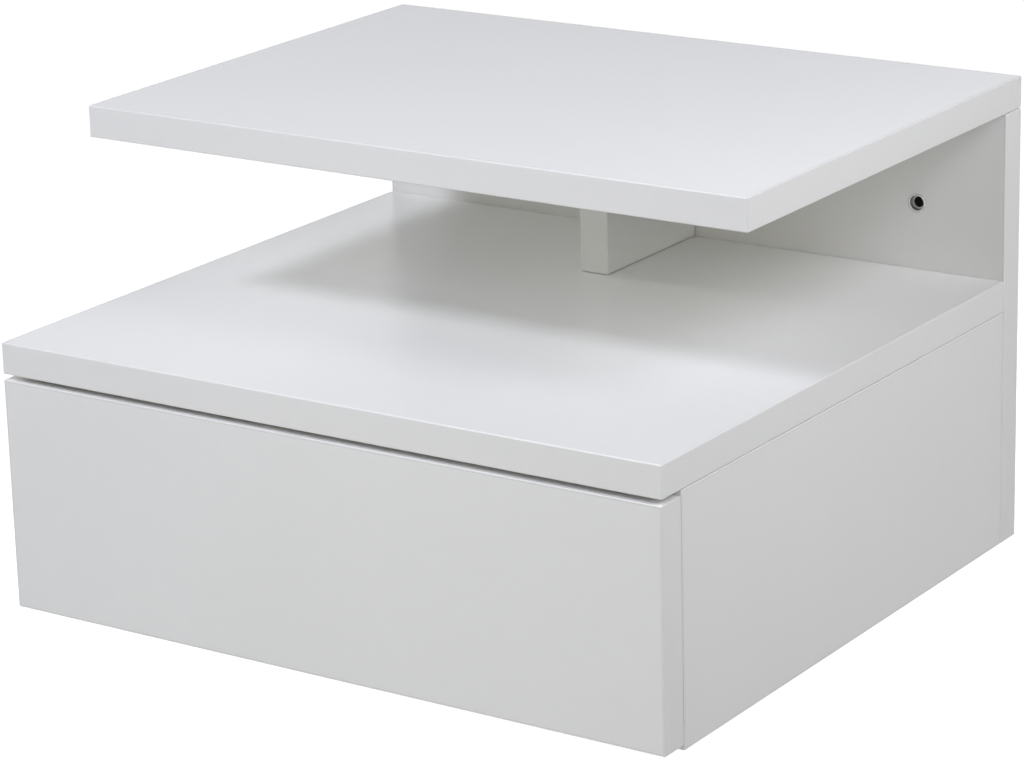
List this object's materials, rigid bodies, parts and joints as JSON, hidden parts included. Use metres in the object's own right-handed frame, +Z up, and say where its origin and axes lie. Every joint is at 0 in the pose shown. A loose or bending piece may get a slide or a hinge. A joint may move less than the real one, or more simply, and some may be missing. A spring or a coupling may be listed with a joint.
{
  "type": "floating nightstand",
  "caption": "Wall-hung white nightstand: a short top shelf on a back panel and centre support, an open nook, and a handle-less drawer on roller runners below.",
  "frame": {"origin": "on the wall plane, which is the back panel's rear face, midway between the two wall-screw sleeves", "axes": "+X to the right as seen from the front, +Y into the wall, +Z up"},
  "size_m": [0.35, 0.32, 0.225],
  "materials": {
    "white_laminate": "satin white laminate",
    "white_foil": "matt white foil",
    "hardboard": "white lacquered top",
    "coated_steel": "white coated",
    "nylon": "natural nylon",
    "nickel": "nickel plated",
    "zinc": "zinc plated",
    "beech": "bare beech"
  },
  "bodies": {
    "cabinet": {"top_shelf": "white_laminate", "back_panel": "white_laminate", "lower_shelf": "white_laminate", "centre_support": "white_laminate", "side_panel_left": "white_laminate", "side_panel_right": "white_laminate", "bottom_panel": "hardboard", "cabinet_runner_left": "coated_steel", "cabinet_runner_right": "coated_steel", "wall_sleeve_left": "nickel", "wall_sleeve_right": "nickel", "side_cam_bolt_left_front": "zinc", "side_cam_bolt_left_back": "zinc", "side_cam_bolt_right_front": "zinc", "side_cam_bolt_right_back": "zinc", "side_cam_disc_left_front": "zinc", "side_cam_disc_left_back": "zinc", "side_cam_disc_right_front": "zinc", "side_cam_disc_right_back": "zinc", "top_cam_bolt_left": "zinc", "top_cam_bolt_right": "zinc", "top_cam_disc_left": "zinc", "top_cam_disc_right": "zinc", "back_screw_side_left": "zinc", "back_screw_side_right": "zinc", "back_screw_shelf_left": "zinc", "back_screw_shelf_right": "zinc", "support_screw": "zinc", "cabinet_runner_screw_left_front": "zinc", "cabinet_runner_screw_left_back": "zinc", "cabinet_runner_screw_right_front": "zinc", "cabinet_runner_screw_right_back": "zinc", "top_dowel_left": "beech", "top_dowel_right": "beech", "support_dowel": "beech"},
    "drawer": {"drawer_front": "white_laminate", "drawer_back": "white_foil", "drawer_side_left": "white_foil", "drawer_side_right": "white_foil", "drawer_bottom": "hardboard", "drawer_runner_left": "coated_steel", "drawer_runner_right": "coated_steel", "drawer_cam_bolt_left": "zinc", "drawer_cam_bolt_right": "zinc", "drawer_cam_disc_left": "zinc", "drawer_cam_disc_right": "zinc", "drawer_back_screw_left_low": "zinc", "drawer_back_screw_left_high": "zinc", "drawer_back_screw_right_low": "zinc", "drawer_back_screw_right_high": "zinc", "drawer_runner_screw_left_front": "zinc", "drawer_runner_screw_left_back": "zinc", "drawer_runner_screw_right_front": "zinc", "drawer_runner_screw_right_back": "zinc", "drawer_dowel_left": "beech", "drawer_dowel_right": "beech"},
    "front_roller_left": {"front_roller_left": "nylon"},
    "front_roller_right": {"front_roller_right": "nylon"},
    "rear_roller_left": {"rear_roller_left": "nylon"},
    "rear_roller_right": {"rear_roller_right": "nylon"}
  },
  "joints": [
    {"name": "drawer_slide", "type": "slide", "parent": "cabinet", "child": "drawer", "axis": [0, -1, 0], "range_m": [0, 0.19]},
    {"name": "front_roller_left_turn", "type": "hinge", "parent": "cabinet", "child": "front_roller_left", "pos_m": [-0.1551, -0.292, -0.1235], "axis": [1, 0, 0], "continuous": true},
    {"name": "front_roller_right_turn", "type": "hinge", "parent": "cabinet", "child": "front_roller_right", "pos_m": [0.1551, -0.292, -0.1235], "axis": [1, 0, 0], "continuous": true},
    {"name": "rear_roller_left_turn", "type": "hinge", "parent": "drawer", "child": "rear_roller_left", "pos_m": [-0.1524, -0.063, -0.12255], "axis": [1, 0, 0], "continuous": true},
    {"name": "rear_roller_right_turn", "type": "hinge", "parent": "drawer", "child": "rear_roller_right", "pos_m": [0.1524, -0.063, -0.12255], "axis": [1, 0, 0], "continuous": true}
  ],
  "couplings": [
    {"joint": "front_roller_left_turn", "follows": "drawer_slide", "rad_per_m": 125},
    {"joint": "front_roller_right_turn", "follows": "drawer_slide", "rad_per_m": 125},
    {"joint": "rear_roller_left_turn", "follows": "drawer_slide", "rad_per_m": 111.73},
    {"joint": "rear_roller_right_turn", "follows": "drawer_slide", "rad_per_m": 111.73}
  ]
}
